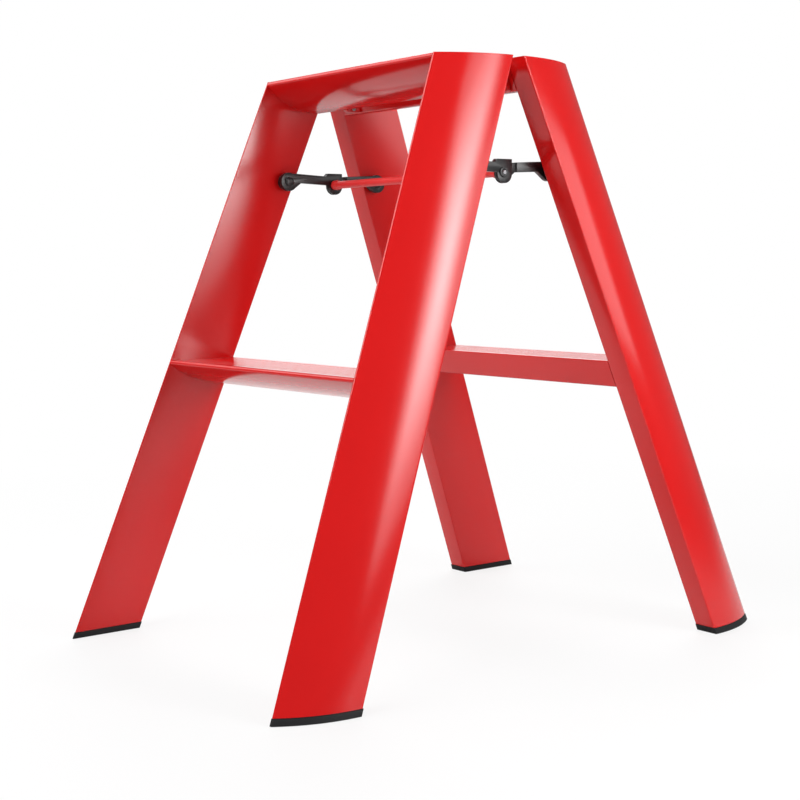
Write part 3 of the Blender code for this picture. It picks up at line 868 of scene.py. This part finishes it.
class STOOL_OT_bracket_screws(bpy.types.Operator):
    """Round-headed screws of the hinge brackets, each with a six-sided socket"""

    bl_idname = "stool.bracket_screws"
    bl_label = "Bracket screws"

    head_radius: bpy.props.FloatProperty(
        name="Head radius", description="Radius of a head", default=0.0031, unit="LENGTH"
    )
    head_height: bpy.props.FloatProperty(
        name="Head height", description="Height of a head", default=0.0013, unit="LENGTH"
    )
    rim_height: bpy.props.FloatProperty(
        name="Rim height", description="Height of a head's straight rim", default=0.00039, unit="LENGTH"
    )
    flat: bpy.props.FloatProperty(
        name="Flat", description="Radius of a head's flat top", default=0.001705, unit="LENGTH"
    )
    shank: bpy.props.FloatProperty(
        name="Shank", description="Radius of the shank", default=0.0016, unit="LENGTH"
    )
    length: bpy.props.FloatProperty(
        name="Length", description="Length under the head", default=0.0075, unit="LENGTH"
    )
    socket: bpy.props.FloatProperty(
        name="Socket", description="Radius of the socket's corners", default=0.0012, unit="LENGTH"
    )
    socket_depth: bpy.props.FloatProperty(
        name="Socket depth", description="Depth of the socket", default=0.00091, unit="LENGTH"
    )
    dome_steps: bpy.props.IntProperty(
        name="Dome steps",
        description="Rings of a head's dome",
        default=4,
        min=1,
    )

    def rings(self):
        """Radius and height of each ring from a head's dome down to the end of the shank."""
        turns = [math.pi / 2 * i / self.dome_steps for i in range(1, self.dome_steps + 1)]
        wide, tall = self.head_radius - self.flat, self.head_height - self.rim_height
        domed = [(self.flat + wide * math.sin(a), self.rim_height + tall * math.cos(a)) for a in turns]
        return domed + [(self.head_radius, 0.0), (self.shank, 0.0), (self.shank, -self.length)]

    def screw(self):
        """Screw standing on Z = 0 under its head: a socket bridged to a round head, then the shank."""
        shape = bmesh.new()
        level = Matrix.Translation((0, 0, self.head_height))
        six = bmesh.ops.create_circle(shape, segments=6, radius=self.socket, matrix=level)
        inner = list({edge for vertex in six["verts"] for edge in vertex.link_edges})
        ring = bmesh.ops.create_circle(shape, segments=36, radius=self.flat, matrix=level)
        outer = list({edge for vertex in ring["verts"] for edge in vertex.link_edges})
        bmesh.ops.bridge_loops(shape, edges=inner + outer)
        deep = bmesh.ops.extrude_edge_only(shape, edges=inner)["geom"]
        floor = [item for item in deep if isinstance(item, bmesh.types.BMVert)]
        bmesh.ops.translate(shape, verts=floor, vec=(0, 0, -self.socket_depth))
        base = [item for item in deep if isinstance(item, bmesh.types.BMEdge)]
        bmesh.ops.contextual_create(shape, geom=base)
        radius, height = self.flat, self.head_height
        for next_radius, next_height in self.rings():
            grown = bmesh.ops.extrude_edge_only(shape, edges=outer)["geom"]
            moved = [item for item in grown if isinstance(item, bmesh.types.BMVert)]
            outer = [item for item in grown if isinstance(item, bmesh.types.BMEdge)]
            wider = next_radius / radius
            bmesh.ops.scale(shape, verts=moved, vec=(wider, wider, 1))
            bmesh.ops.translate(shape, verts=moved, vec=(0, 0, next_height - height))
            radius, height = next_radius, next_height
        bmesh.ops.contextual_create(shape, geom=outer)
        bmesh.ops.recalc_face_normals(shape, faces=shape.faces[:])
        return shape

    def execute(self, context):
        size = context.scene.stool_sizes
        lean = math.atan((size.half_depth_floor - size.half_depth_top) / size.height)
        for quarter, front, side in QUARTERS:
            along = Vector((0.0, -front * math.cos(lean), -math.sin(lean)))
            turn = along.to_track_quat("Z", "Y").to_matrix().to_4x4()
            for number, drop in enumerate(size.screw_drops, 1):
                node = f"{quarter}_bracket_screw_{number}"
                low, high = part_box(node)
                x = (low[0] + high[0]) / 2
                z = size.hinge_height - drop
                edge = Vector((x, front * (half_depth(size, z) - size.section_depth), z))
                seat = edge + along * (size.bracket_base + 2 * size.seam)
                shape = self.screw()
                shape.transform(Matrix.Translation(seat) @ turn)
                finish_piece(f"steel_{node}", shape, [node])
        return {"FINISHED"}


class STOOL_OT_stays(bpy.types.Operator):
    """The four halves of the folding stays, forked and tongued at the middle"""

    bl_idname = "stool.stays"
    bl_label = "Folding stays"

    def execute(self, context):
        for quarter, front, side in QUARTERS:
            node = f"{quarter}_stay"
            soften_node(f"black_{node}", node)
        return {"FINISHED"}


class STOOL_OT_bosses(bpy.types.Operator):
    """Plastic bosses that stand the stays off the legs"""

    bl_idname = "stool.bosses"
    bl_label = "Stay bosses"

    def execute(self, context):
        for quarter, front, side in QUARTERS:
            node = f"{quarter}_stay_boss"
            soften_node(f"plastic_{node}", node)
        return {"FINISHED"}


class STOOL_OT_stay_pins(bpy.types.Operator):
    """Rivets, middle pins and washers of the folding stays"""

    bl_idname = "stool.stay_pins"
    bl_label = "Stay pins"

    shank: bpy.props.FloatProperty(
        name="Shank", description="Radius of the shanks", default=0.0023, unit="LENGTH"
    )
    rivet_head: bpy.props.FloatProperty(
        name="Rivet head", description="Thickness of a rivet's head", default=0.0017, unit="LENGTH"
    )
    crown: bpy.props.FloatProperty(
        name="Crown", description="Height of a rivet's dome", default=0.00136, unit="LENGTH"
    )
    chamfer: bpy.props.FloatProperty(
        name="Chamfer", description="Chamfer at a middle pin's outer end", default=0.0005, unit="LENGTH"
    )
    washer_rounding: bpy.props.FloatProperty(
        name="Washer rounding", description="Rounding of a washer's edges", default=0.0002, unit="LENGTH"
    )

    def add_rivet(self, node, side):
        centre, low, high, radius = node_reach(node)
        length = high - low
        profile = dome(radius, self.crown, -self.crown)
        profile += [(radius, -self.rivet_head), (self.shank, -self.rivet_head)]
        profile += [(self.shank, -length), (0.0, -length)]
        inner = low if side > 0 else high
        turned_piece(f"black_{node}", node, profile, (inner, *centre[1:]), (-side, 0, 0))

    def add_middle_pin(self, node, side):
        centre, low, high, radius = node_reach(node)
        length = high - low
        profile = [(0.0, 0.0), (radius - self.chamfer, 0.0), (radius, -self.chamfer)]
        profile += [(radius, -length), (0.0, -length)]
        outer = high if side > 0 else low
        turned_piece(f"steel_{node}", node, profile, (outer, *centre[1:]), (side, 0, 0))

    def add_washer(self, node, side, bore):
        centre, low, high, radius = node_reach(node)
        half = (high - low) / 2
        profile = [(bore, -half), (bore, half), (radius, half), (radius, -half), (bore, -half)]
        origin = ((low + high) / 2, *centre[1:])
        turned_piece(f"black_{node}", node, profile, origin, (side, 0, 0), self.washer_rounding)

    def execute(self, context):
        seam = context.scene.stool_sizes.seam
        for side_name, side in SIDES:
            for frame_name, front in FRAMES:
                self.add_rivet(f"{frame_name}_{side_name}_stay_rivet", side)
            self.add_middle_pin(f"{side_name}_middle_pin", side)
            self.add_washer(f"{side_name}_pin_washer", side, self.shank + seam)
        return {"FINISHED"}


class STOOL_OT_lock_bar(bpy.types.Operator):
    """Round bar between the folding stays, with a collar and a bore at each end"""

    bl_idname = "stool.lock_bar"
    bl_label = "Lock bar"

    radius: bpy.props.FloatProperty(
        name="Radius", description="Radius of the bar", default=0.004, unit="LENGTH"
    )
    collar_length: bpy.props.FloatProperty(
        name="Collar length", description="Length of a collar", default=0.007, unit="LENGTH"
    )
    bore: bpy.props.FloatProperty(
        name="Bore", description="Radius of a bore", default=0.0026, unit="LENGTH"
    )
    bore_depth: bpy.props.FloatProperty(
        name="Bore depth", description="Depth of a bore", default=0.0103, unit="LENGTH"
    )
    chamfer: bpy.props.FloatProperty(
        name="Chamfer", description="Chamfer of a collar", default=0.0006, unit="LENGTH"
    )

    def execute(self, context):
        centre, low, high, collar = node_reach("lock_bar")
        half = (high - low) / 2
        upper = [
            (0.0, half - self.bore_depth),
            (self.bore, half - self.bore_depth),
            (self.bore, half),
            (collar - self.chamfer, half),
            (collar, half - self.chamfer),
            (collar, half - self.collar_length),
            (self.radius, half - self.collar_length - self.chamfer),
        ]
        # This finish holds painted light: a lighter red that makes the bar look more brightly lit than the
        # legs.
        coat = satin_paint_painted_light_finish(tuple(context.scene.stool_colours.paint))
        turned_piece("painted_lock_bar", "lock_bar", mirrored(upper), centre, (1, 0, 0), PIN_ROUNDING, coat)
        return {"FINISHED"}


CAMERA_PLACE = (1.21147, -0.9317, 0.37761)
CAMERA_TURN = (52.95, 5.32, -0.58)
FOCAL_PIXELS = 1519.0
FRAME_PIXELS = 800.0


def add_lamp(name, centre, target, width, height, power):
    """Rectangular soft light that faces a point."""
    light = bpy.data.lights.new(name, "AREA")
    light.shape = "RECTANGLE"
    light.size = width
    light.size_y = height
    light.energy = power
    lamp = bpy.data.objects.new(name, light)
    lamp.location = centre
    lamp.rotation_euler = (Vector(centre) - Vector(target)).to_track_quat("Z", "Y").to_euler()
    bpy.context.scene.collection.objects.link(lamp)


def around(azimuth, elevation, distance, centre):
    """Point in a direction from a centre, its azimuth turning from +X towards +Y."""
    a, e = math.radians(azimuth), math.radians(elevation)
    way = Vector((math.cos(a) * math.cos(e), math.sin(a) * math.cos(e), math.sin(e)))
    return Vector(centre) + distance * way


RIGHT_SIDE = (0.1, -0.15, 0.3)
MIDDLE = (0.0, 0.0, 0.3)
# Each lamp: name, place, point it faces, width, height, power.
LAMPS = (
    ("side_panel", (1.245, 1.221, 0.66), (0.19, 0.2, 0.35), 0.95, 0.46, 3.9),
    ("front_box", around(-90, 42, 2.2, MIDDLE), MIDDLE, 1.8, 1.4, 46.0),
    ("left_box", around(-140, 35, 2.2, MIDDLE), MIDDLE, 1.8, 1.4, 19.0),
    ("back_box", around(140, 48, 1.9, MIDDLE), (-0.7, 0.55, 0.0), 1.2, 1.2, 30.0),
)
KEY_PLACE = around(22, 17, 1.09, RIGHT_SIDE)
KEY_STEPS = 6
KEY_SPACING = 0.01
KEY_SPREAD = 0.115
KEY_STRETCH = 1.75
KEY_RADIANCE = 15.5
BACKDROP_AZIMUTH = 150.0
BACKDROP_EDGE = (0.80, 0.96)
BACKDROP_LEVEL = 1.3
ROOM_LEVEL = 0.20
FLOOR_RADIUS = 30.0
FLOOR_DROP = 0.0005
FLOOR_GREY = 0.6
SHADOW_REACH = (0.5, 1.4)
SHADOW_FADE = (0.82, 1.0)
WHITE = (1.0, 1.0, 1.0, 1.0)


class STOOL_OT_stage(bpy.types.Operator):
    """Floor, soft studio light and the camera"""

    bl_idname = "stool.stage"
    bl_label = "Stage"

    def execute(self, context):
        scene = context.scene
        scene.view_settings.view_transform = "Standard"
        self.add_floor()
        self.add_world(scene)
        self.add_camera(scene)
        for name, place, target, width, height, power in LAMPS:
            add_lamp(name, place, target, width, height, power)
        self.add_key()
        return {"FINISHED"}

    def add_key(self):
        """Key light with a soft edge: nested boxes whose sizes follow a bell curve."""
        target = Vector(RIGHT_SIDE)
        back = (KEY_PLACE - target).normalized()
        for step in range(KEY_STEPS):
            share = (step + 0.5) / KEY_STEPS
            width = 2 * KEY_SPREAD * math.sqrt(-2 * math.log(share))
            height = width * KEY_STRETCH
            place = KEY_PLACE - KEY_SPACING * step * back
            power = 4 * width * height * KEY_RADIANCE / KEY_STEPS
            add_lamp(f"key_{step + 1}", place, target, width, height, power)

    def add_floor(self):
        """Pale floor that the camera sees as white, apart from the soft shadow near the stool."""
        shape = bmesh.new()
        bmesh.ops.create_circle(shape, cap_ends=True, segments=96, radius=FLOOR_RADIUS)
        mesh = bpy.data.meshes.new("studio_floor")
        shape.to_mesh(mesh)
        shape.free()
        floor = bpy.data.objects.new("studio_floor", mesh)
        floor.location = (0.0, 0.0, -FLOOR_DROP)
        bpy.context.scene.collection.objects.link(floor)
        finish = Finish("studio_floor")
        finish.set(base_color=(FLOOR_GREY, FLOOR_GREY, FLOOR_GREY, 1.0), roughness=0.6)
        white = finish.node("ShaderNodeEmission", inputs={"Color": WHITE, "Strength": 1.0})
        seen = finish.node("ShaderNodeLightPath", output=0)
        reach = finish.node("ShaderNodeVectorMath", {"operation": "LENGTH"}, {0: finish.place()}, output=1)
        fade = {
            "Value": reach,
            "From Min": SHADOW_REACH[0],
            "From Max": SHADOW_REACH[1],
            "To Min": SHADOW_FADE[0],
            "To Max": SHADOW_FADE[1],
        }
        share = seen * finish.node("ShaderNodeMapRange", inputs=fade)
        mixed = finish.node("ShaderNodeMixShader", inputs={0: share})
        finish.links.new(finish.surface.outputs[0], mixed.socket.node.inputs[1])
        finish.links.new(white.socket, mixed.socket.node.inputs[2])
        finish.links.new(mixed.socket, finish.nodes["Material Output"].inputs["Surface"])
        mesh.materials.append(finish.material)

    def add_world(self, scene):
        """White for the camera, and for the light a dim room with a bright backdrop on one side."""
        world = bpy.data.worlds.new("studio")
        scene.world = world
        world.use_nodes = True
        nodes, links = world.node_tree.nodes, world.node_tree.links
        background = nodes["Background"]
        background.inputs["Strength"].default_value = 1.0
        way = nodes.new("ShaderNodeTexCoord")
        facing = nodes.new("ShaderNodeVectorMath")
        facing.operation = "DOT_PRODUCT"
        angle = math.radians(BACKDROP_AZIMUTH)
        facing.inputs[1].default_value = (math.cos(angle), math.sin(angle), 0.0)
        links.new(way.outputs["Generated"], facing.inputs[0])
        spread = nodes.new("ShaderNodeMapRange")
        spread.interpolation_type = "SMOOTHSTEP"
        ends = (*BACKDROP_EDGE, ROOM_LEVEL, BACKDROP_LEVEL)
        for name, value in zip(("From Min", "From Max", "To Min", "To Max"), ends, strict=True):
            spread.inputs[name].default_value = value
        links.new(facing.outputs["Value"], spread.inputs["Value"])
        path = nodes.new("ShaderNodeLightPath")
        mix = nodes.new("ShaderNodeMix")
        mix.data_type = "RGBA"
        mix.inputs[7].default_value = WHITE
        links.new(path.outputs["Is Camera Ray"], mix.inputs[0])
        links.new(spread.outputs["Result"], mix.inputs[6])
        links.new(mix.outputs[2], background.inputs["Color"])

    def add_camera(self, scene):
        """Camera at the photograph's place and turn."""
        camera = bpy.data.cameras.new("photo_view")
        camera.sensor_width = 36.0
        camera.sensor_fit = "HORIZONTAL"
        camera.lens = FOCAL_PIXELS * camera.sensor_width / FRAME_PIXELS
        camera.clip_end = 100.0
        holder = bpy.data.objects.new("photo_view", camera)
        yaw, pitch, roll = (math.radians(angle) for angle in CAMERA_TURN)
        aim = Matrix.Rotation(yaw, 3, "Z") @ Matrix.Rotation(math.pi / 2 - pitch, 3, "X")
        turn = aim @ Matrix.Rotation(roll, 3, "Z")
        holder.matrix_world = Matrix.Translation(CAMERA_PLACE) @ turn.to_4x4()
        scene.collection.objects.link(holder)
        scene.camera = holder


class STOOL_PT_panel(bpy.types.Panel):
    """Sidebar list of the stool's sizes, colours and pieces"""

    bl_idname = "STOOL_PT_panel"
    bl_label = "Step Stool"
    bl_space_type = "VIEW_3D"
    bl_region_type = "UI"
    bl_category = "Step Stool"

    def draw(self, context):
        for group in (context.scene.stool_sizes, context.scene.stool_colours):
            for name in group.__annotations__:
                self.layout.prop(group, name)
        for operator in OPERATORS:
            self.layout.operator(operator.bl_idname)


OPERATORS = (
    STOOL_OT_stage,
    STOOL_OT_legs,
    STOOL_OT_leg_caps,
    STOOL_OT_feet,
    STOOL_OT_treads,
    STOOL_OT_brackets,
    STOOL_OT_hinge_pins,
    STOOL_OT_bracket_screws,
    STOOL_OT_stays,
    STOOL_OT_bosses,
    STOOL_OT_stay_pins,
    STOOL_OT_lock_bar,
)
CLASSES = (StoolSizes, StoolColours, *OPERATORS, STOOL_PT_panel)


def register():
    for item in CLASSES:
        bpy.utils.register_class(item)
    bpy.types.Scene.stool_sizes = bpy.props.PointerProperty(type=StoolSizes)
    bpy.types.Scene.stool_colours = bpy.props.PointerProperty(type=StoolColours)


def unregister():
    del bpy.types.Scene.stool_colours
    del bpy.types.Scene.stool_sizes
    for item in reversed(CLASSES):
        bpy.utils.unregister_class(item)


def main():
    """Register the add-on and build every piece."""
    register()
    bpy.ops.stool.stage()
    bpy.ops.stool.legs()
    bpy.ops.stool.leg_caps()
    bpy.ops.stool.feet()
    bpy.ops.stool.treads()
    bpy.ops.stool.brackets()
    bpy.ops.stool.hinge_pins()
    bpy.ops.stool.bracket_screws()
    bpy.ops.stool.stays()
    bpy.ops.stool.bosses()
    bpy.ops.stool.stay_pins()
    bpy.ops.stool.lock_bar()


if __name__ == "__main__":
    main()
